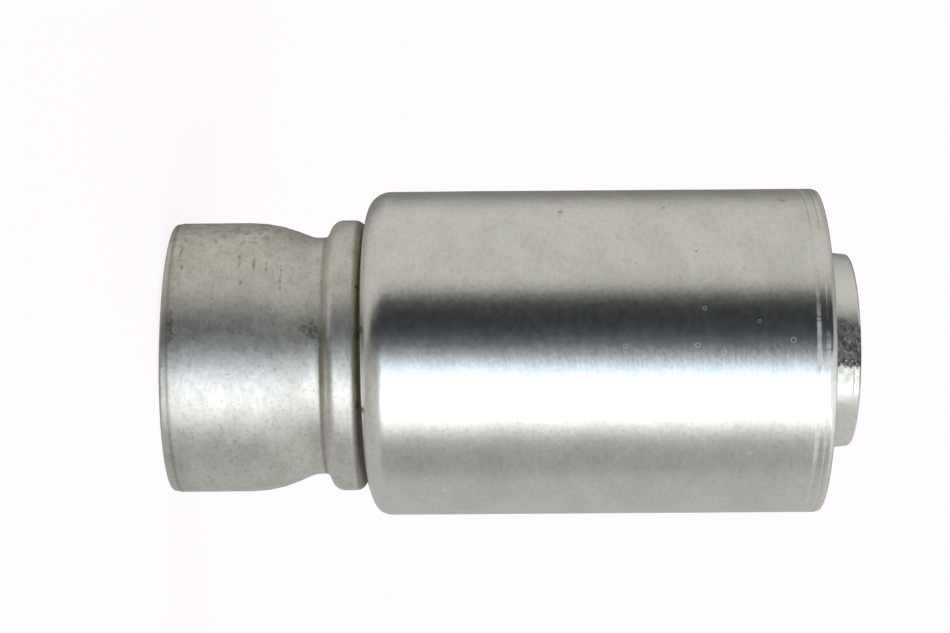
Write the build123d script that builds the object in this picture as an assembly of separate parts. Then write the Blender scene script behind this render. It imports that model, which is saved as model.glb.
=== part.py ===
from build123d import *

import os
from math import radians, tan

# Weld-on hose fitting, in millimetres: a formed aluminium tube stem with a crimp shell locked on it.
# The axis is Z. The origin is the centre of the weld socket's rim, and the hose end points up.

# Weld socket: the tube end that is welded on slides into it
tube_od = 19.05
tube_wall = 1.24
weld_gap = 0.05
socket_depth = 6.3
socket_rim_rounding = 0.5
socket_lead_in = 0.3

# Cone from the socket down to the neck, which keeps the tube's own diameter
cone_angle = 22.5
shoulder_bend = 10.0
neck_bend = 2.0
neck_length = 0.73

# Bead rolled out of the neck's wall, which backs up the shell
bead_od = 21.76
bead_width = 3.27
bead_flank_angle = 64.0
bead_foot_rounding = 0.5
bead_front_rounding = 0.7
bead_back_rounding = 1.5
bead_back_run = 0.48
bead_contact_od = 19.88
bead_recess_depth = 0.8
bead_recess_width = 2.2
bead_recess_rounding = 0.5

# Groove that the shell's floor sits in, and the ring that locks it there
seat_od = 18.2
ring_od = 19.2
ring_width = 1.36
ring_rounding = 0.3
shell_hole_gap = 0.05

# Reduced end that goes into the hose
reducer_angle = 38.0
reducer_bend = 1.0
insert_od = 16.2
insert_bore = 13.0
insert_projection = 2.63
tip_od = 15.4
tip_taper_length = 3.5
tip_rounding = 0.4
tip_bore_rounding = 0.25

# Shallow grooves round the insert, which the crimped hose is pressed into
groove_pitch = 5.6
groove_width = 2.6
groove_depth = 0.45
groove_side_angle = 45.0
groove_root_rounding = 0.6
groove_edge_rounding = 0.2

# Crimp shell: a drawn cup with a hole in its floor
shell_od = 26.0
shell_length = 35.71
shell_wall = 1.35
shell_floor = 1.4
shell_shoulder_rounding = 1.77
shell_inner_rounding = 0.6
shell_rim_taper = 0.09
shell_rim_taper_length = 0.38
shell_rim_break = 0.06
shell_mouth_chamfer = 0.3

# Largest share of a side that the roundings at its two ends may take
rounding_share = 0.98

# Radii of the stem
socket_bore_r = tube_od / 2 + weld_gap
socket_r = socket_bore_r + tube_wall
neck_r = tube_od / 2
neck_bore_r = neck_r - tube_wall
bead_r = bead_od / 2
recess_r = neck_bore_r + bead_recess_depth
seat_r = seat_od / 2
ring_r = ring_od / 2
insert_r = insert_od / 2
insert_bore_r = insert_bore / 2
insert_wall = insert_r - insert_bore_r

# Stations along the axis, from the socket's rim upwards
half_cone = tan(radians(cone_angle / 2))
cone_slope = tan(radians(cone_angle))
shoulder_z = socket_depth + shoulder_bend * half_cone
neck_z = shoulder_z + (socket_r - neck_r) / cone_slope
bead_z = neck_z + neck_bend * half_cone + neck_length
bead_crown_z = bead_z + (bead_r - neck_r) / tan(radians(bead_flank_angle))
seat_z = bead_z + bead_width
ring_z = seat_z + shell_floor
reducer_z = ring_z + ring_width
reducer_slope = tan(radians(reducer_angle))
insert_z = reducer_z + (ring_r - insert_r) / reducer_slope
rim_z = seat_z + shell_length
tip_z = rim_z + insert_projection
taper_z = tip_z - tip_taper_length

# Stations of the bore, one wall inside the bends above
bore_shoulder_z = shoulder_z - tube_wall * half_cone
bore_neck_z = neck_z - tube_wall * half_cone
bore_insert_z = insert_z - insert_wall * tan(radians(reducer_angle / 2))
bore_reducer_z = bore_insert_z - (neck_bore_r - insert_bore_r) / reducer_slope
recess_z = bead_z + bead_width / 2
recess_side = bead_recess_depth / tan(radians(bead_flank_angle))


def fitted_roundings(corners):
    """The rounding of each corner, reduced only where a side beside it is too short for it."""
    count = len(corners)
    places = [Vector(radius, station) for radius, station, rounding in corners]
    sides = [places[(i + 1) % count] - places[i] for i in range(count)]
    setbacks = [
        corners[i][2] * tan(radians(sides[i - 1].get_angle(sides[i]) / 2)) for i in range(count)
    ]
    shares = []
    for i in range(count):
        wanted = setbacks[i] + setbacks[(i + 1) % count]
        shares.append(min(1.0, rounding_share * sides[i].length / wanted) if wanted else 1.0)
    return [corners[i][2] * min(shares[i - 1], shares[i]) for i in range(count)]


def turned(corners):
    """A solid turned about Z from its half section. A corner is (radius, station, rounding)."""
    places = [(radius, station) for radius, station, rounding in corners]
    section = FilletPolyline(*places, radius=fitted_roundings(corners), close=True)
    return revolve(make_face(Plane.XZ * section), Axis.Z)


def insert_grooves():
    """Corners of the grooves, evenly spaced along the straight part of the insert."""
    straight = taper_z - insert_z
    count = max(1, int((straight - groove_width) / groove_pitch) + 1)
    first = insert_z + (straight - (count - 1) * groove_pitch) / 2
    side = groove_depth / tan(radians(groove_side_angle))
    root_r = insert_r - groove_depth
    corners = []
    for i in range(count):
        middle = first + i * groove_pitch
        corners += [
            (insert_r, middle - groove_width / 2, groove_edge_rounding),
            (root_r, middle - groove_width / 2 + side, groove_root_rounding),
            (root_r, middle + groove_width / 2 - side, groove_root_rounding),
            (insert_r, middle + groove_width / 2, groove_edge_rounding),
        ]
    return corners


def weld_stem():
    """Socket, cone, neck, bead, shell seat, locking ring and hose insert, formed from one tube."""
    outside = [
        (socket_r, 0, socket_rim_rounding),
        (socket_r, shoulder_z, shoulder_bend),
        (neck_r, neck_z, neck_bend),
        (neck_r, bead_z, bead_foot_rounding),
        (bead_r, bead_crown_z, bead_front_rounding),
        (bead_r, seat_z - bead_back_run, bead_back_rounding),
        (bead_contact_od / 2, seat_z, 0),
        (seat_r, seat_z, 0),
        (seat_r, ring_z, 0),
        (ring_r, ring_z, ring_rounding),
        (ring_r, reducer_z, ring_rounding),
        (insert_r, insert_z, reducer_bend),
        *insert_grooves(),
        (insert_r, taper_z, reducer_bend),
        (tip_od / 2, tip_z, tip_rounding),
    ]
    bore = [
        (insert_bore_r, tip_z, tip_bore_rounding),
        (insert_bore_r, bore_insert_z, reducer_bend + insert_wall),
        (neck_bore_r, bore_reducer_z, reducer_bend),
        (neck_bore_r, recess_z + bead_recess_width / 2, bead_recess_rounding),
        (recess_r, recess_z + bead_recess_width / 2 - recess_side, bead_recess_rounding),
        (recess_r, recess_z - bead_recess_width / 2 + recess_side, bead_recess_rounding),
        (neck_bore_r, recess_z - bead_recess_width / 2, bead_recess_rounding),
        (neck_bore_r, bore_neck_z, neck_bend + tube_wall),
        (socket_bore_r, bore_shoulder_z, shoulder_bend - tube_wall),
        (socket_bore_r, socket_lead_in, 0),
        (socket_bore_r + socket_lead_in, 0, 0),
    ]
    return turned(outside + bore)


def crimp_shell():
    """Cup over the hose insert, its floor held in the seat between the bead and the locking ring."""
    hole_r = seat_r + shell_hole_gap
    shell_r = shell_od / 2
    bore_r = shell_r - shell_wall
    return turned(
        [
            (hole_r, seat_z, 0),
            (shell_r, seat_z, shell_shoulder_rounding),
            (shell_r, rim_z - shell_rim_taper_length, shell_rim_taper_length),
            (shell_r - shell_rim_taper, rim_z, shell_rim_break),
            (bore_r + shell_mouth_chamfer, rim_z, 0),
            (bore_r, rim_z - shell_mouth_chamfer, 0),
            (bore_r, seat_z + shell_floor, shell_inner_rounding),
            (hole_r, seat_z + shell_floor, 0),
        ]
    )


os.makedirs("parts", exist_ok=True)
export_step(weld_stem(), "parts/weld_stem.step")
export_step(crimp_shell(), "parts/crimp_shell.step")
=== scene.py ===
import bpy
from math import asin, atan2, ceil, cos, degrees, dist, hypot, pi, radians, sin, sqrt, tan
from mathutils import Matrix, Vector
from mathutils.noise import noise as noise_value


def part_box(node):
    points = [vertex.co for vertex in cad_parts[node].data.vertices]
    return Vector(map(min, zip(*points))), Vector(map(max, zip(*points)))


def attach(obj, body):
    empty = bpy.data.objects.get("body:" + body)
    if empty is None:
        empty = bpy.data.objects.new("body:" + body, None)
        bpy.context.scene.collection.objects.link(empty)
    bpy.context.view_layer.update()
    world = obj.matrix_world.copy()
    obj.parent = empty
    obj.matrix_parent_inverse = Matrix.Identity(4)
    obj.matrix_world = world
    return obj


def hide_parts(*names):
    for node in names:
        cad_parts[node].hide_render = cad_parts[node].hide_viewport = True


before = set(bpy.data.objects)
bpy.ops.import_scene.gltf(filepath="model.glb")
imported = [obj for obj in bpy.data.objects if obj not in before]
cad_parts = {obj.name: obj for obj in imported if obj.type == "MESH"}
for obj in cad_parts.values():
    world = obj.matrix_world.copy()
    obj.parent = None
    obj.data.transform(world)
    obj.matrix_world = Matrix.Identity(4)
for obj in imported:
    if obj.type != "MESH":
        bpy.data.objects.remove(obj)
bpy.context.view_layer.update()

# The part's frame: Z is the axis, the weld socket's rim is at 0 and the hose end points up.
# Sizes in this script are millimetres, unless a name says otherwise. Angles are degrees.
MM = 0.001

# What both pieces are measured by, read from the frame
shell_low, shell_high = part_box("crimp_shell")
stem_low, stem_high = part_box("weld_stem")
SEAT_Z = shell_low[2] / MM
RIM_Z = shell_high[2] / MM
TIP_Z = stem_high[2] / MM
SHELL_R = shell_high[0] / MM
BEAD_R = stem_high[0] / MM

# Weld socket, cone and neck
TUBE_WALL = 1.24
NECK_R = 9.525
SOCKET_R = 10.815
SOCKET_DEPTH = 6.3
SOCKET_RIM_ROUNDING = 0.25
SOCKET_BEVEL_DEPTH = 0.12
SOCKET_BEVEL_LENGTH = 0.7
SOCKET_BEVEL_ROUNDING = 0.4
SOCKET_LEAD_IN = 0.3
CONE_ANGLE = 22.5
SHOULDER_BEND = 10.0
NECK_BEND = 2.0

# Bead
BEAD_WIDTH = 3.27
BEAD_FLANK_ANGLE = 64.0
BEAD_FOOT_ROUNDING = 0.5
BEAD_FRONT_ROUNDING = 1.1
BEAD_BACK_ROUNDING = 1.0
BEAD_BACK_RUN = 0.48
BEAD_CONTACT_R = 9.94
BEAD_RECESS_DEPTH = 0.8
BEAD_RECESS_WIDTH = 2.2
BEAD_RECESS_ROUNDING = 0.5

# Seat and locking ring
SHELL_FLOOR = 1.4
SEAT_R = 9.1
RING_R = 9.6
RING_WIDTH = 1.36
RING_ROUNDING = 0.3
SHELL_HOLE_GAP = 0.05

# Hose insert
REDUCER_ANGLE = 38.0
REDUCER_BEND = 1.0
INSERT_R = 8.1
INSERT_BORE_R = 6.5
TIP_R = 7.7
TIP_TAPER_LENGTH = 3.5
TIP_ROUNDING = 0.25
TIP_BORE_ROUNDING = 0.25
GROOVE_PITCH = 5.6
GROOVE_WIDTH = 2.6
GROOVE_DEPTH = 0.45
GROOVE_ROOT_ROUNDING = 0.6
GROOVE_EDGE_ROUNDING = 0.2

# Crimp shell
SHELL_WALL = 1.35
SHELL_SHOULDER_ROUNDING = 1.77
SHELL_INNER_ROUNDING = 0.6
SHELL_RIM_BREAK = 0.06
SHELL_RIM_TAPER = 0.09
SHELL_RIM_TAPER_LENGTH = 0.38
SHELL_MOUTH_CHAMFER = 0.3

# Fine turned lines outside, near the shell's rim: distances from the rim, half width and depth
RIM_LINES = (1.36, 0.68)
RIM_LINE_HALF_WIDTH = 0.09
RIM_LINE_DEPTH = 0.03

# The formed end is a touch off the axis and not cut quite square, and both pieces are slightly uneven
SOCKET_SHIFT = 0.23
BEAD_SHIFT = 0.13
SOCKET_OUT_OF_SQUARE = 0.16
UNEVEN_HEIGHT = 0.02
UNEVEN_CELL = 7.0

# The bead and the shell's floor sit a little askew: how far they are off, and leans for 1 mm of radius
BEAD_OFFSET = -0.1
BEAD_LEAN = 0.02
FLOOR_OFFSET = 0.1
FLOOR_LEAN = 0.011
FLOOR_DIP = 0.42
INNER_R = 10.6
OUTER_R = 11.6

# Edges that are sharp in the solids get this much of a break
EDGE_BREAK = 0.05
ROUNDING_SHARE = 0.98

# Mesh fineness: faces round the axis, the turn between two rings of an arc, the longest ring step
FACES_ROUND = 232
ARC_STEP = 7.5
LONGEST_STEP = 1.2


def stem_corners():
    """Half section of the stem as (radius, station, rounding): the outside upwards, then the bore."""
    half_cone = tan(radians(CONE_ANGLE / 2))
    flank = tan(radians(BEAD_FLANK_ANGLE))
    reducer = tan(radians(REDUCER_ANGLE))
    shoulder_z = SOCKET_DEPTH + SHOULDER_BEND * half_cone
    neck_z = shoulder_z + (SOCKET_R - NECK_R) / tan(radians(CONE_ANGLE))
    bead_z = SEAT_Z - BEAD_WIDTH
    ring_z = SEAT_Z + SHELL_FLOOR
    insert_z = ring_z + RING_WIDTH + (RING_R - INSERT_R) / reducer
    taper_z = TIP_Z - TIP_TAPER_LENGTH
    neck_bore_r = NECK_R - TUBE_WALL
    bore_insert_z = insert_z - (INSERT_R - INSERT_BORE_R) * tan(radians(REDUCER_ANGLE / 2))
    recess_z = bead_z + BEAD_WIDTH / 2
    recess_side = BEAD_RECESS_DEPTH / flank
    recess_r = neck_bore_r + BEAD_RECESS_DEPTH
    outside = [
        (SOCKET_R - SOCKET_BEVEL_DEPTH, 0, SOCKET_RIM_ROUNDING),
        (SOCKET_R, SOCKET_BEVEL_LENGTH, SOCKET_BEVEL_ROUNDING),
        (SOCKET_R, shoulder_z, SHOULDER_BEND),
        (NECK_R, neck_z, NECK_BEND),
        (NECK_R, bead_z, BEAD_FOOT_ROUNDING),
        (BEAD_R, bead_z + (BEAD_R - NECK_R) / flank, BEAD_FRONT_ROUNDING),
        (BEAD_R, SEAT_Z - BEAD_BACK_RUN, BEAD_BACK_ROUNDING),
        (BEAD_CONTACT_R, SEAT_Z, EDGE_BREAK),
        (SEAT_R, SEAT_Z, EDGE_BREAK),
        (SEAT_R, ring_z, EDGE_BREAK),
        (RING_R, ring_z, RING_ROUNDING),
        (RING_R, ring_z + RING_WIDTH, RING_ROUNDING),
        (INSERT_R, insert_z, REDUCER_BEND),
        *groove_corners(insert_z, taper_z),
        (INSERT_R, taper_z, REDUCER_BEND),
        (TIP_R, TIP_Z, TIP_ROUNDING),
    ]
    bore = [
        (INSERT_BORE_R, TIP_Z, TIP_BORE_ROUNDING),
        (INSERT_BORE_R, bore_insert_z, REDUCER_BEND + INSERT_R - INSERT_BORE_R),
        (neck_bore_r, bore_insert_z - (neck_bore_r - INSERT_BORE_R) / reducer, REDUCER_BEND),
        (neck_bore_r, recess_z + BEAD_RECESS_WIDTH / 2, BEAD_RECESS_ROUNDING),
        (recess_r, recess_z + BEAD_RECESS_WIDTH / 2 - recess_side, BEAD_RECESS_ROUNDING),
        (recess_r, recess_z - BEAD_RECESS_WIDTH / 2 + recess_side, BEAD_RECESS_ROUNDING),
        (neck_bore_r, recess_z - BEAD_RECESS_WIDTH / 2, BEAD_RECESS_ROUNDING),
        (neck_bore_r, neck_z - TUBE_WALL * half_cone, NECK_BEND + TUBE_WALL),
        (SOCKET_R - TUBE_WALL, shoulder_z - TUBE_WALL * half_cone, SHOULDER_BEND - TUBE_WALL),
        (SOCKET_R - TUBE_WALL, SOCKET_LEAD_IN, EDGE_BREAK),
        (SOCKET_R - TUBE_WALL + SOCKET_LEAD_IN, 0, EDGE_BREAK),
    ]
    return outside + bore


def groove_corners(insert_z, taper_z):
    """Corners of the shallow grooves, evenly spaced along the straight part of the insert."""
    straight = taper_z - insert_z
    count = int((straight - GROOVE_WIDTH) / GROOVE_PITCH) + 1
    first = insert_z + (straight - (count - 1) * GROOVE_PITCH) / 2
    corners = []
    for i in range(count):
        middle = first + i * GROOVE_PITCH
        for side in (-1, 1):
            edge = (INSERT_R, middle + side * GROOVE_WIDTH / 2, GROOVE_EDGE_ROUNDING)
            foot_z = middle + side * (GROOVE_WIDTH / 2 - GROOVE_DEPTH)
            foot = (INSERT_R - GROOVE_DEPTH, foot_z, GROOVE_ROOT_ROUNDING)
            corners += [edge, foot] if side < 0 else [foot, edge]
    return corners


def shell_corners():
    """Half section of the crimp shell as (radius, station, rounding)."""
    hole_r = SEAT_R + SHELL_HOLE_GAP
    bore_r = SHELL_R - SHELL_WALL
    lines = []
    for distance in RIM_LINES:
        for offset, depth in ((-1, 0), (0, RIM_LINE_DEPTH), (1, 0)):
            station = RIM_Z - distance + offset * RIM_LINE_HALF_WIDTH
            lines.append((SHELL_R - depth, station, EDGE_BREAK))
    return [
        (hole_r, SEAT_Z, EDGE_BREAK),
        (SHELL_R, SEAT_Z, SHELL_SHOULDER_ROUNDING),
        *lines,
        (SHELL_R, RIM_Z - SHELL_RIM_TAPER_LENGTH, SHELL_RIM_TAPER_LENGTH),
        (SHELL_R - SHELL_RIM_TAPER, RIM_Z, SHELL_RIM_BREAK),
        (bore_r + SHELL_MOUTH_CHAMFER, RIM_Z, EDGE_BREAK),
        (bore_r, RIM_Z - SHELL_MOUTH_CHAMFER, EDGE_BREAK),
        (bore_r, SEAT_Z + SHELL_FLOOR, SHELL_INNER_ROUNDING),
        (hole_r, SEAT_Z + SHELL_FLOOR, EDGE_BREAK),
    ]


def rounded(corners):
    """The section as points: an arc at each corner, and straight runs cut into short steps."""
    count = len(corners)
    places = [Vector(corner[:2]) for corner in corners]
    ways = [(places[(i + 1) % count] - places[i]) for i in range(count)]
    turns = [ways[i - 1].angle_signed(ways[i]) for i in range(count)]
    setbacks = [corners[i][2] * tan(abs(turns[i]) / 2) for i in range(count)]
    shares = [
        min(1, ROUNDING_SHARE * ways[i].length / (setbacks[i] + setbacks[(i + 1) % count]))
        for i in range(count)
    ]
    points = []
    for i in range(count):
        rounding = corners[i][2] * min(shares[i - 1], shares[i])
        setback = rounding * tan(abs(turns[i]) / 2)
        start = places[i] - ways[i - 1].normalized() * setback
        if points:
            points += steps_between(points[-1], start)
        side = -1 if turns[i] > 0 else 1
        inward = Vector((-ways[i - 1].y, ways[i - 1].x)).normalized() * side
        centre = start + inward * rounding
        pieces = max(2, ceil(degrees(abs(turns[i])) / ARC_STEP))
        for step in range(pieces + 1):
            spoke = start - centre
            spoke.rotate(Matrix.Rotation(-turns[i] * step / pieces, 2))
            points.append(centre + spoke)
    return points + steps_between(points[-1], points[0])


def steps_between(start, end):
    """Points that cut a straight run into even steps, without its two ends."""
    count = ceil((end - start).length / LONGEST_STEP)
    return [start.lerp(end, i / count) for i in range(1, count)]


def eased(value, start, end):
    share = min(1, max(0, (value - start) / (end - start)))
    return share * share * (3 - 2 * share)


def worn(radius, station, turn):
    """A point of a turned piece, a little off the ideal form."""
    way = Vector((cos(turn), sin(turn)))
    unevenness = noise_value(Vector((*(way * radius), station)) / UNEVEN_CELL)
    radius -= UNEVEN_HEIGHT * (1 + unevenness)
    shift = SOCKET_SHIFT + (BEAD_SHIFT - SOCKET_SHIFT) * eased(station, SOCKET_DEPTH, SEAT_Z - 1)
    shift *= 1 - eased(station, SEAT_Z - 0.5, SEAT_Z)
    lift = SOCKET_OUT_OF_SQUARE * (1 - way.x) * (1 - eased(station, 0, SOCKET_DEPTH))
    near_seat = eased(station, SEAT_Z - 4.5, SEAT_Z - 1) * (1 - eased(station, SEAT_Z - 0.3, SEAT_Z + 1.2))
    inner = BEAD_OFFSET + BEAD_LEAN * radius * way.y
    outer = FLOOR_OFFSET + FLOOR_LEAN * radius * way.x - FLOOR_DIP * eased(-way.y, 0, 1)
    lift += near_seat * (inner + (outer - inner) * eased(radius, INNER_R, OUTER_R))
    return ((radius * way.x + shift) * MM, radius * way.y * MM, (station + lift) * MM)


def unrolled(mesh, section):
    """A map of the turned mesh: across it goes round the part, and up it follows the section."""
    lengths = [0.0]
    for i in range(len(section)):
        lengths.append(lengths[-1] + (section[(i + 1) % len(section)] - section[i]).length)
    places = []
    for ring in range(len(section)):
        low, high = lengths[ring] / lengths[-1], lengths[ring + 1] / lengths[-1]
        for i in range(FACES_ROUND):
            left, right = i / FACES_ROUND, (i + 1) / FACES_ROUND
            places += [left, low, right, low, right, high, left, high]
    mesh.uv_layers.new(name="OFBake").data.foreach_set("uv", places)


def turned_piece(name, corners, material, node_name):
    """A finely turned mesh of the section, which stands for the node of the frame."""
    section = rounded(corners)
    rings = len(section)
    vertices = []
    for radius, station in section:
        for i in range(FACES_ROUND):
            vertices.append(worn(radius, station, 2 * pi * i / FACES_ROUND))
    faces = []
    for ring in range(rings):
        low, high = ring * FACES_ROUND, (ring + 1) % rings * FACES_ROUND
        for i in range(FACES_ROUND):
            j = (i + 1) % FACES_ROUND
            faces.append((low + i, low + j, high + j, high + i))
    mesh = bpy.data.meshes.new(name)
    mesh.from_pydata(vertices, [], faces)
    unrolled(mesh, section)
    mesh.shade_smooth()
    mesh.materials.append(material)
    piece = bpy.data.objects.new(name, mesh)
    bpy.context.scene.collection.objects.link(piece)
    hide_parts(node_name)
    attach(piece, "root")
    return piece


def node(tree, kind, inputs=(), **settings):
    """A new node, with its inputs set or linked and its settings made."""
    made = tree.nodes.new(kind)
    for key, value in settings.items():
        setattr(made, key, value)
    for key, value in dict(inputs).items():
        if isinstance(value, bpy.types.NodeSocket):
            tree.links.new(value, made.inputs[key])
        else:
            made.inputs[key].default_value = value
    return made


def maths(tree, operation, *values):
    return node(tree, "ShaderNodeMath", enumerate(values), operation=operation).outputs[0]


def step_up(tree, value, start, end, low=0.0, high=1.0):
    """Goes smoothly from low, at start, to high, at end."""
    inputs = {"Value": value, "From Min": start, "From Max": end, "To Min": low, "To Max": high}
    return node(tree, "ShaderNodeMapRange", inputs, interpolation_type="SMOOTHSTEP").outputs[0]


def rise(tree, value, edge, softness):
    """0 below the edge and 1 above it, changing smoothly across softness."""
    return step_up(tree, value, edge - softness / 2, edge + softness / 2)


def fall(tree, value, edge, softness):
    return step_up(tree, value, edge - softness / 2, edge + softness / 2, 1.0, 0.0)


def product(tree, first, *others):
    for value in others:
        first = maths(tree, "MULTIPLY", first, value)
    return first


def band(tree, value, low, high, softness):
    """1 between low and high, falling smoothly to 0 across softness at each side."""
    return product(tree, rise(tree, value, low, softness), fall(tree, value, high, softness))


def mixed(tree, factor, first, second, blend="MIX"):
    made = node(tree, "ShaderNodeMix", data_type="RGBA", blend_type=blend)
    for socket, value in zip((made.inputs[0], made.inputs[6], made.inputs[7]), (factor, first, second)):
        if isinstance(value, bpy.types.NodeSocket):
            tree.links.new(value, socket)
        else:
            socket.default_value = value if isinstance(value, float) else (*value, 1)
    return made.outputs[2]


def darker(tree, mask, colour, tint):
    """The colour, multiplied by the tint where the mask is 1."""
    return mixed(tree, mask, colour, tint, "MULTIPLY")


def place_on_part(tree):
    """The point in millimetres, the angle from the camera's side towards -X, and the station."""
    where = node(tree, "ShaderNodeTexCoord").outputs["Object"]
    point = node(tree, "ShaderNodeVectorMath", {0: where, "Scale": 1 / MM}, operation="SCALE").outputs[0]
    axes = node(tree, "ShaderNodeSeparateXYZ", {0: point}).outputs
    minus_x, minus_y = (maths(tree, "MULTIPLY", axes[i], -1.0) for i in (0, 1))
    angle = maths(tree, "MULTIPLY", maths(tree, "ARCTAN2", minus_x, minus_y), 180 / pi)
    return point, angle, axes[2]


def from_axis(tree, point):
    """The distance of the point from the part's axis, in millimetres."""
    across = node(tree, "ShaderNodeVectorMath", {0: point, 1: (1, 1, 0)}, operation="MULTIPLY").outputs[0]
    return node(tree, "ShaderNodeVectorMath", {0: across}, operation="LENGTH").outputs["Value"]


def noise(tree, point, round_size, axial_size, detail=2.0):
    """Noise with patches of these sizes, round the part and along its axis."""
    scale = (1 / round_size, 1 / round_size, 1 / axial_size)
    cells = node(tree, "ShaderNodeVectorMath", {0: point, 1: scale}, operation="MULTIPLY").outputs[0]
    return node(tree, "ShaderNodeTexNoise", {"Vector": cells, "Scale": 1.0, "Detail": detail}).outputs[0]


def centred(tree, value, height):
    """The noise as a height, in millimetres, above and below nought."""
    return maths(tree, "MULTIPLY", maths(tree, "SUBTRACT", value, 0.5), height)


def mark(tree, place, angle, station, round_half, axial_half, reach):
    """How near a point is to an oval's middle: 1 there and 0 on its edge, with half sizes in mm."""
    point, angles, stations = place
    turn = maths(tree, "SUBTRACT", angles, float(angle))
    across = maths(tree, "MULTIPLY", turn, radians(1) * reach / round_half)
    along = maths(tree, "DIVIDE", maths(tree, "SUBTRACT", stations, float(station)), axial_half)
    squares = maths(tree, "ADD", maths(tree, "MULTIPLY", across, across), maths(tree, "MULTIPLY", along, along))
    return maths(tree, "SUBTRACT", 1.0, squares)


def nearest_mark(tree, place, spots, reach):
    result = mark(tree, place, *spots[0], reach)
    for spot in spots[1:]:
        result = maths(tree, "MAXIMUM", result, mark(tree, place, *spot, reach))
    return result


def marks(tree, place, spots, reach, size=0.3, raggedness=3.5):
    """Ragged, speckled spots. The size is that of the flakes that their edges break into."""
    flakes = centred(tree, noise(tree, place[0], size, size, 2.0), raggedness)
    nearness = maths(tree, "MAXIMUM", nearest_mark(tree, place, spots, reach), -3.0)
    return step_up(tree, maths(tree, "ADD", nearness, flakes), 0.0, 1.4)


def rings(tree, place, spots, reach):
    """Thin pale rings round the spots: partly dust, partly painted glints."""
    return band(tree, nearest_mark(tree, place, spots, reach), 0.12, 0.62, 0.2)


def dust_glints(tree, point, cell, radius, width, share):
    """Thin pale rings in a share of the cells: partly fine dust, partly painted glints."""
    cells = node(tree, "ShaderNodeVectorMath", {0: point, 1: (1 / cell,) * 3}, operation="MULTIPLY").outputs[0]
    spots = node(tree, "ShaderNodeTexVoronoi", {"Vector": cells, "Scale": 1.0}).outputs
    chosen = step_up(tree, spots["Color"], 1 - share - 0.02, 1 - share + 0.02)
    ring = band(tree, spots["Distance"], (radius - width / 2) / cell, (radius + width / 2) / cell, width / cell)
    return maths(tree, "MULTIPLY", chosen, ring)


def metal(name):
    """A new bare metal, its tree, its shader and where each point of it is."""
    material = bpy.data.materials.new(name)
    material.use_nodes = True
    tree = material.node_tree
    shader = tree.nodes["Principled BSDF"]
    shader.inputs["Metallic"].default_value = 1
    return material, tree, shader, place_on_part(tree)


def bumped(tree, shader, height):
    """Gives the shader the relief, a height in millimetres."""
    bump = node(tree, "ShaderNodeBump", {"Height": height, "Distance": MM, "Strength": 1.0})
    tree.links.new(bump.outputs[0], shader.inputs["Normal"])


# Pale colour of dust, which also paints glints as pale rings
DUST_AND_GLINT = (0.9, 0.9, 0.88)

# Shell: bright drawn metal with faint stains and specks
SHELL_LIGHT = (0.91, 0.9, 0.868)
SHELL_DULL = (0.84, 0.832, 0.797)
SHELL_SPECK = (0.42, 0.38, 0.3)
SHELL_ROUGHNESS = (0.235, 0.265)
SCUFFED_ROUGHNESS = 0.55
# Spots as angle, station, half size round the part and half size along it
SHELL_SPOTS = (
    (57.5, 30.9, 0.55, 0.22),
    (55, 30.8, 0.2, 0.35),
    (60, 39.0, 0.2, 0.14),
    (36.7, 41.2, 0.14, 0.14),
    (32, 36.5, 0.12, 0.16),
    (-62, 25.0, 0.2, 0.16),
    (65.6, 48.3, 0.3, 0.5),
    (-48, 20.8, 0.12, 0.12),
)
FLOOR_SPOTS = ((9.5, 15.6, 0.42, 0.3), (-20.5, 15.65, 0.5, 0.34))
# Pale rings on the shell: partly dust, partly painted glints
SHELL_GLINT_RINGS = (
    (4.2, 48.2, 0.24, 0.24),
    (2.8, 41.0, 0.22, 0.22),
    (0.4, 43.0, 0.24, 0.24),
    (-36.0, 45.1, 0.2, 0.2),
    (10.7, 45.7, 0.16, 0.16),
    (15.2, 41.6, 0.18, 0.18),
    (2.7, 35.6, 0.2, 0.2),
)


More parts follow.
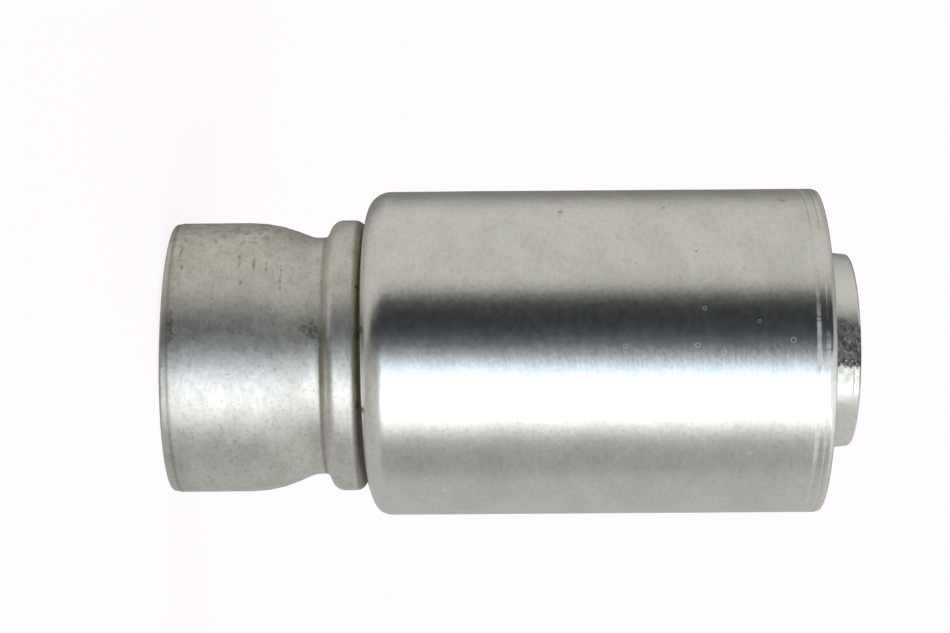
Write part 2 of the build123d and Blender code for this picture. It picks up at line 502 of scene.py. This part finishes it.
def shell_metal():
    material, tree, shader, place = metal("worn_shell_metal")
    point, angle, station = place
    patches = step_up(tree, noise(tree, point, 4.5, 3.0, 3.0), 0.38, 0.66)
    colour = mixed(tree, patches, SHELL_LIGHT, SHELL_DULL)
    grain = noise(tree, point, 0.5, 0.3, 3.0)
    colour = darker(tree, step_up(tree, grain, 0.42, 0.7, 0.0, 0.5), colour, (0.86, 0.85, 0.82))
    hue = step_up(tree, noise(tree, point, 1.6, 1.1), 0.35, 0.65)
    colour = darker(tree, 0.35, colour, mixed(tree, hue, (1.0, 0.955, 0.97), (0.955, 1.0, 0.97)))
    specks = step_up(tree, noise(tree, point, 0.28, 0.28, 1.0), 0.76, 0.8, 0.0, 0.45)
    colour = darker(tree, specks, colour, SHELL_SPECK)
    colour = darker(tree, marks(tree, place, SHELL_SPOTS, SHELL_R), colour, (0.6, 0.57, 0.5))
    floor_spots = product(tree, marks(tree, place, FLOOR_SPOTS, SHELL_R, 0.3, 1.5), rise(tree, from_axis(tree, point), 11.5, 0.5))
    colour = darker(tree, floor_spots, colour, (0.1, 0.09, 0.08))
    rim_dirt = rise(tree, station, RIM_Z - 0.08, 0.1)
    colour = darker(tree, rim_dirt, colour, (0.75, 0.72, 0.66))
    # Pale rings and cells: partly dust, partly painted glints
    dust_and_glints = maths(tree, "MAXIMUM", dust_glints(tree, point, 1.5, 0.17, 0.06, 0.1), rings(tree, place, SHELL_GLINT_RINGS, SHELL_R))
    dust_and_glints = maths(tree, "MULTIPLY", dust_and_glints, 0.6)
    colour = mixed(tree, dust_and_glints, colour, DUST_AND_GLINT)
    tree.links.new(colour, shader.inputs["Base Color"])
    tree.links.new(step_up(tree, dust_and_glints, 0.0, 1.0, 1.0, 0.4), shader.inputs["Metallic"])
    roughness = step_up(tree, noise(tree, point, 0.7, 0.5, 3.0), 0.3, 0.7, *SHELL_ROUGHNESS)
    roughness = step_up(tree, scuffs(tree, point, angle, station), 0.0, 1.0, roughness, SCUFFED_ROUGHNESS)
    tree.links.new(roughness, shader.inputs["Roughness"])
    streaks = centred(tree, noise(tree, point, 3.0, 0.45, 2.0), 0.013)
    fine = centred(tree, noise(tree, point, 0.45, 0.3, 2.0), 0.005)
    bumped(tree, shader, maths(tree, "ADD", streaks, fine))
    return material


def scuffs(tree, point, angle, station):
    """Where the shell is scuffed: beads along its turned lines, and its lip."""
    beads = step_up(tree, noise(tree, point, 0.16, 30.0, 0.0), 0.42, 0.56, 0.45, 1.0)
    first, second = (band(tree, station, RIM_Z - line - 0.17, RIM_Z - line + 0.17, 0.14) for line in RIM_LINES)
    first = product(tree, first, step_up(tree, angle, 9, 16, 0.9, 0.5))
    second = product(tree, second, step_up(tree, angle, 4, 9, 0.5, 0.0))
    bright = band(tree, angle, -27, -8, 6)
    lines = product(tree, maths(tree, "ADD", first, second), maths(tree, "SUBTRACT", 1.0, bright))
    wider = maths(tree, "MULTIPLY", band(tree, angle, -20, -1, 8), 0.25)
    lip = rise(tree, maths(tree, "ADD", station, wider), RIM_Z - 0.3, 0.16)
    return maths(tree, "MAXIMUM", maths(tree, "MULTIPLY", lines, beads), maths(tree, "MULTIPLY", lip, 0.9))


# Stem: duller formed metal, smoother at its hose end
STEM_LIGHT = (0.825, 0.812, 0.77)
STEM_DULL = (0.745, 0.732, 0.685)
STEM_BRIGHT = (0.96, 0.955, 0.92)
STEM_ROUGHNESS = (0.39, 0.45)
INSERT_ROUGHNESS = 0.32
# Colour in the gap between bead and shell: partly dirt, partly painted shade
GAP_DIRT_AND_SHADE = (0.19, 0.18, 0.14)
BLACK_SPOT = (0.025, 0.022, 0.018)
STAIN = (0.05, 0.026, 0.022)
STAIN_GREEN = (0.045, 0.048, 0.04)
SOCKET_SPOTS = (
    (48, 1.5, 1.2, 0.16),
    (40, 1.7, 0.5, 0.14),
    (44, 6.1, 1.1, 0.16),
    (42, 7.2, 1.3, 0.18),
    (41, 8.2, 0.9, 0.12),
    (37, 9.3, 1.5, 0.14),
    (66, 6.3, 0.6, 0.35),
    (66, 7.4, 0.55, 0.3),
    (66, 9.8, 0.25, 0.25),
    (67.5, 10.9, 0.2, 0.16),
    (32, 6.3, 0.4, 0.2),
    (12, 1.05, 1.8, 0.25),
)
NECK_SPOTS = ((11, 11.8, 0.9, 0.55), (12.5, 11.2, 0.5, 0.5))
GAP_SPOTS = ((8.6, 15.3, 0.5, 0.26), (-21.7, 15.2, 0.45, 0.22), (30, 15.2, 0.25, 0.18))
# Pale rings on the stem: partly dust, partly painted glints
STEM_GLINT_RINGS = (
    (2.9, 7.1, 0.24, 0.24),
    (10.9, 1.45, 0.22, 0.22),
    (4.0, 11.7, 0.2, 0.2),
    (4.9, 12.1, 0.24, 0.24),
    (1.6, 11.85, 0.16, 0.16),
    (-36.1, 13.6, 0.2, 0.2),
)
ORANGE_SPOTS = ((19.1, 13.2, 0.22, 0.18), (-60.5, 12.4, 0.2, 0.16))


def stem_metal():
    material, tree, shader, place = metal("worn_stem_metal")
    point, angle, station = place
    insert = step_up(tree, station, SEAT_Z, RIM_Z - 4)
    patches = step_up(tree, noise(tree, point, 2.2, 1.6, 4.0), 0.36, 0.66)
    colour = mixed(tree, patches, STEM_LIGHT, STEM_DULL)
    colour = mixed(tree, insert, colour, STEM_BRIGHT)
    formed = step_up(tree, insert, 0.0, 0.5, 1.0, 0.3)
    grain = noise(tree, point, 0.36, 0.3, 1.5)
    grain = product(tree, step_up(tree, grain, 0.42, 0.74, 0.0, 0.6), formed)
    colour = darker(tree, grain, colour, (0.8, 0.775, 0.73))
    smears = product(tree, step_up(tree, noise(tree, point, 0.9, 0.34, 2.0), 0.52, 0.76, 0.0, 0.32), formed)
    colour = darker(tree, smears, colour, (0.68, 0.64, 0.57))
    specks = step_up(tree, noise(tree, point, 0.3, 0.26, 1.0), 0.71, 0.77, 0.0, 0.6)
    colour = darker(tree, specks, colour, (0.45, 0.41, 0.34))
    brown = step_up(tree, noise(tree, point, 0.8, 0.6, 1.5), 0.46, 0.7)
    brown = product(tree, brown, band(tree, angle, 50, 95, 25), fall(tree, station, 9.5, 2.0))
    colour = darker(tree, brown, colour, (0.76, 0.72, 0.66))
    colour = darker(tree, marks(tree, place, SOCKET_SPOTS, SOCKET_R), colour, (0.6, 0.56, 0.5))
    colour = darker(tree, marks(tree, place, NECK_SPOTS, NECK_R), colour, (0.5, 0.5, 0.48))
    colour = darker(tree, marks(tree, place, ORANGE_SPOTS, NECK_R), colour, (1.0, 0.62, 0.42))
    bevel_line = band(tree, station, SOCKET_BEVEL_LENGTH - 0.05, SOCKET_BEVEL_LENGTH + 0.2, 0.25)
    colour = darker(tree, bevel_line, colour, (0.72, 0.69, 0.66))
    # Painted shade: darker towards the socket's rim, where its highlight dims
    colour = darker(tree, fall(tree, station, 1.8, 2.2), colour, (0.88, 0.88, 0.88))
    bead_z = SEAT_Z - BEAD_WIDTH
    foot = product(tree, band(tree, station, bead_z - 0.28, bead_z, 0.24), step_up(tree, angle, 10, 28, 1.0, 0.6))
    colour = darker(tree, foot, colour, (0.6, 0.57, 0.52))
    # Painted shade: the bead's front flank darker in the band that faces the softbox
    flank = product(tree, band(tree, station, bead_z - 0.5, bead_z + 0.7, 0.3), band(tree, angle, -14, 10, 12))
    colour = darker(tree, flank, colour, (0.79, 0.785, 0.75))
    olive = band(tree, station, SEAT_Z - 0.9, SEAT_Z, 0.4)
    colour = darker(tree, olive, colour, (0.52, 0.505, 0.41))
    # A fine turned line on the tip, painted dark only across the highlight band
    tip_line = product(tree, band(tree, station, TIP_Z - 0.64, TIP_Z - 0.54, 0.08), band(tree, angle, -26, -8, 8))
    colour = darker(tree, tip_line, colour, (0.55, 0.53, 0.42))
    tip_specks = step_up(tree, noise(tree, point, 0.4, 0.35, 2.0), 0.55, 0.72, 0.0, 0.5)
    tip_specks = product(tree, tip_specks, rise(tree, station, RIM_Z, 0.5), fall(tree, angle, -22, 12))
    colour = darker(tree, tip_specks, colour, (0.7, 0.7, 0.68))
    # Painted shade that dims the tip's highlight, mottled by noise
    tip_highlight_shade = product(tree, band(tree, angle, -20, -7, 8), rise(tree, station, RIM_Z, 0.5))
    tip_highlight_shade = product(tree, tip_highlight_shade, step_up(tree, noise(tree, point, 0.5, 0.7, 2.0), 0.35, 0.65, 0.6, 1.0))
    colour = darker(tree, tip_highlight_shade, colour, (0.52, 0.515, 0.46))
    # The gap between bead and shell: partly dirt, partly painted shade
    ragged = centred(tree, noise(tree, point, 1.4, 1.4, 3.0), 0.2)
    gap_dirt_and_shade = band(tree, maths(tree, "ADD", station, ragged), SEAT_Z - 0.5, SEAT_Z + 0.2, 0.3)
    dulled = maths(tree, "MULTIPLY", gap_dirt_and_shade, 0.8)
    spots = marks(tree, place, GAP_SPOTS, BEAD_R, 0.3, 1.5)
    stain = tip_stain(tree, point, angle, station)
    hue = step_up(tree, noise(tree, point, 0.9, 0.6), 0.45, 0.6)
    hue = maths(tree, "MAXIMUM", hue, rise(tree, station, 53.0, 0.4))
    cover = step_up(tree, noise(tree, point, 0.55, 0.45, 2.0), 0.38, 0.62, 0.74, 0.95)
    colour = mixed(tree, product(tree, stain, cover), colour, mixed(tree, hue, STAIN, STAIN_GREEN))
    colour = mixed(tree, dulled, colour, GAP_DIRT_AND_SHADE)
    colour = mixed(tree, spots, colour, BLACK_SPOT)
    dulled = maths(tree, "MAXIMUM", dulled, spots)
    # Pale rings and cells: partly dust, partly painted glints
    dust_and_glints = maths(tree, "MAXIMUM", dust_glints(tree, point, 1.1, 0.14, 0.06, 0.16), rings(tree, place, STEM_GLINT_RINGS, SOCKET_R))
    dust_and_glints = product(tree, dust_and_glints, step_up(tree, insert, 0.0, 0.5, 0.45, 0.0))
    colour = mixed(tree, dust_and_glints, colour, DUST_AND_GLINT)
    tree.links.new(colour, shader.inputs["Base Color"])
    dulled = maths(tree, "MAXIMUM", dulled, maths(tree, "MULTIPLY", stain, 0.7))
    roughness = step_up(tree, noise(tree, point, 0.9, 0.7, 3.0), 0.3, 0.7, *STEM_ROUGHNESS)
    roughness = step_up(tree, insert, 0.0, 1.0, roughness, INSERT_ROUGHNESS)
    roughness = step_up(tree, dulled, 0.0, 1.0, roughness, 0.75)
    tree.links.new(roughness, shader.inputs["Roughness"])
    bare = product(tree, step_up(tree, dulled, 0.2, 1.0, 1.0, 0.15), step_up(tree, dust_and_glints, 0.0, 1.0, 1.0, 0.4))
    tree.links.new(bare, shader.inputs["Metallic"])
    streaks = centred(tree, noise(tree, point, 2.4, 0.5, 2.0), 0.02)
    fine = centred(tree, noise(tree, point, 0.4, 0.3, 3.0), 0.01)
    bumped(tree, shader, maths(tree, "ADD", streaks, fine))
    return material


def tip_stain(tree, point, angle, station):
    """A dark, speckled stain on one side of the tip, outside only."""
    upper = maths(tree, "ADD", angle, step_up(tree, station, 52.8, 53.5, 0.0, 3.5))
    ragged = centred(tree, noise(tree, point, 0.7, 0.6, 3.0), 9.0)
    edges = product(tree, rise(tree, maths(tree, "ADD", angle, ragged), -9.6, 7), fall(tree, upper, 20, 5))
    pale = band(tree, station, 52.9, 53.25, 0.3)
    speckled = maths(tree, "ADD", edges, centred(tree, noise(tree, point, 0.22, 0.2, 2.0), 1.5))
    speckled = maths(tree, "SUBTRACT", speckled, maths(tree, "MULTIPLY", pale, 0.12))
    outside = product(tree, rise(tree, from_axis(tree, point), 7.45, 0.3), rise(tree, station, 52.05, 0.4))
    return product(tree, step_up(tree, speckled, 0.45, 0.95), edges, outside)


# Studio: soft light by the angle round the part's axis, from the camera's side towards -X
WALL = (0.56, 0.555, 0.515)
LOWER_WALL = (0.46, 0.465, 0.455)
WALL_SHADE = (0.3, 0.31, 0.305)
FAR_WALL = (0.2, 0.2, 0.195)
HIGH_FAR_WALL = (0.3, 0.3, 0.29)
HIGH_LOWER_WALL = (0.54, 0.54, 0.52)
FLOOR_GLOW = (0.4, 0.4, 0.385)
FLOOR_SHADE = (0.4, 0.4, 0.385)
LOW_SHADE = (0.66, 0.66, 0.65)
SOFTBOX = (1.75, 1.8, 1.85)
SOFTBOX_EDGE = (0.68, 0.87, 1.1)
DARK_CARD = (0.008, 0.011, 0.016)
LOWER_CARD = (0.042, 0.048, 0.062)
BACKGROUND = (1.0, 0.9647, 0.993)
# The edge that the card and the softbox share turns by this many degrees towards the hose end
SHARED_EDGE_TURN = 5.5


def studio_world():
    """A soft studio: pale walls, one long softbox and one dark card, all upright along the axis."""
    world = bpy.data.worlds.new("studio")
    bpy.context.scene.world = world
    world.use_nodes = True
    tree = world.node_tree
    tree.nodes.clear()
    way = node(tree, "ShaderNodeTexCoord").outputs["Generated"]
    axes = node(tree, "ShaderNodeSeparateXYZ", {0: way}).outputs
    height = axes[2]
    minus_x, minus_y = (maths(tree, "MULTIPLY", axes[i], -1.0) for i in (0, 1))
    angle = maths(tree, "MULTIPLY", maths(tree, "ARCTAN2", minus_x, minus_y), 180 / pi)
    turn = maths(tree, "SUBTRACT", step_up(tree, height, 0.03, 0.18, 0.0, SHARED_EDGE_TURN), step_up(tree, height, 0.38, 0.55, 0.0, 3.0))
    leaned = maths(tree, "ADD", angle, turn)
    level = rise(tree, height, -0.45, 0.3)
    colour = mixed(tree, step_up(tree, angle, -80, -50), LOWER_WALL, WALL)
    colour = mixed(tree, product(tree, band(tree, angle, -94, -62, 18), level), colour, WALL_SHADE)
    low_and_high = product(tree, fall(tree, angle, -60, 30), rise(tree, height, 0.25, 0.4))
    colour = mixed(tree, low_and_high, colour, HIGH_LOWER_WALL)
    far_and_high = product(tree, rise(tree, angle, 105, 30), rise(tree, height, 0.3, 0.4))
    colour = mixed(tree, far_and_high, colour, HIGH_FAR_WALL)
    far = product(tree, band(tree, angle, 134, 200, 36), step_up(tree, height, -0.6, -0.3, 0.6, 1.0))
    colour = mixed(tree, far, colour, FAR_WALL)
    low_shade = product(tree, band(tree, angle, -24, 2, 14), fall(tree, height, -0.5, 0.3))
    colour = darker(tree, low_shade, colour, LOW_SHADE)
    card = product(tree, rise(tree, leaned, 0, 12), fall(tree, angle, 44, 12), band(tree, height, -0.93, 0.82, 0.15))
    colour = mixed(tree, card, colour, mixed(tree, rise(tree, leaned, 14, 12), LOWER_CARD, DARK_CARD))
    lower = maths(tree, "ADD", step_up(tree, height, -0.1, -0.04, 3.0, 0.0), step_up(tree, height, 0.12, 0.35, 0.0, 6.0))
    lower = maths(tree, "ADD", angle, lower)
    softbox = product(tree, rise(tree, lower, -49, 21), fall(tree, leaned, -9, 14), band(tree, height, -0.5, 0.72, 0.3))
    edge = band(tree, leaned, -17, 6, 8)
    colour = mixed(tree, softbox, colour, darker(tree, edge, SOFTBOX, SOFTBOX_EDGE))
    glow = darker(tree, band(tree, angle, -18, 33, 28), FLOOR_GLOW, FLOOR_SHADE)
    colour = mixed(tree, step_up(tree, height, -0.86, -0.97), colour, glow)
    seen = node(tree, "ShaderNodeLightPath").outputs["Is Camera Ray"]
    colour = mixed(tree, seen, colour, BACKGROUND)
    light = node(tree, "ShaderNodeBackground", {"Color": colour})
    output = node(tree, "ShaderNodeOutputWorld")
    tree.links.new(light.outputs[0], output.inputs["Surface"])


def floor():
    """A wide pale floor under the socket's rim, which is clear from below."""
    half = 2.0
    mesh = bpy.data.meshes.new("floor")
    mesh.from_pydata([(-half, -half, 0), (half, -half, 0), (half, half, 0), (-half, half, 0)], [], [(0, 1, 2, 3)])
    material = bpy.data.materials.new("pale_floor")
    material.use_nodes = True
    tree = material.node_tree
    shader = tree.nodes["Principled BSDF"]
    shader.inputs["Base Color"].default_value = (0.22, 0.22, 0.22, 1)
    shader.inputs["Roughness"].default_value = 0.9
    shader.inputs["Specular IOR Level"].default_value = 0
    shader.inputs["Emission Color"].default_value = (*BACKGROUND, 1)
    shader.inputs["Emission Strength"].default_value = 0.887
    below = node(tree, "ShaderNodeNewGeometry").outputs["Backfacing"]
    clear = node(tree, "ShaderNodeBsdfTransparent").outputs[0]
    surface = node(tree, "ShaderNodeMixShader", {0: below, 1: shader.outputs[0], 2: clear})
    tree.links.new(surface.outputs[0], tree.nodes["Material Output"].inputs["Surface"])
    mesh.materials.append(material)
    piece = bpy.data.objects.new("floor", mesh)
    bpy.context.scene.collection.objects.link(piece)
    piece.visible_glossy = piece.visible_diffuse = piece.visible_shadow = False


# Camera: the photograph looks square at the axis, which lies across the frame with the hose end right
FRAME_WIDTH_PX = 950
FOCAL_PX = 2358
CAMERA_DISTANCE = 190.0
CAMERA_Z = 25.2
CAMERA_X = -2.9
CAMERA_YAW = 0.29
CAMERA_TILT = 0.42


def camera():
    """The photograph's camera, on its side: up in the frame is -X, and right is +Z."""
    data = bpy.data.cameras.new("camera")
    data.sensor_width = 36
    data.lens = FOCAL_PX * data.sensor_width / FRAME_WIDTH_PX
    data.clip_start, data.clip_end = 0.01, 10
    piece = bpy.data.objects.new("camera", data)
    bpy.context.scene.collection.objects.link(piece)
    yaw, tilt = radians(CAMERA_YAW), radians(CAMERA_TILT)
    forward = Vector((0, cos(yaw), -sin(yaw)))
    level, upright = Vector((0, sin(yaw), cos(yaw))), Vector((-1, 0, 0))
    right = level * cos(tilt) - upright * sin(tilt)
    up = level * sin(tilt) + upright * cos(tilt)
    turn = Matrix((right, up, -forward)).transposed().to_4x4()
    place = Vector((CAMERA_X, -CAMERA_DISTANCE, CAMERA_Z)) * MM
    piece.matrix_world = Matrix.Translation(place) @ turn
    bpy.context.scene.camera = piece


bpy.context.scene.view_settings.view_transform = "Standard"
studio_world()
floor()
camera()
turned_piece("turned_stem", stem_corners(), stem_metal(), "weld_stem")
turned_piece("drawn_shell", shell_corners(), shell_metal(), "crimp_shell")
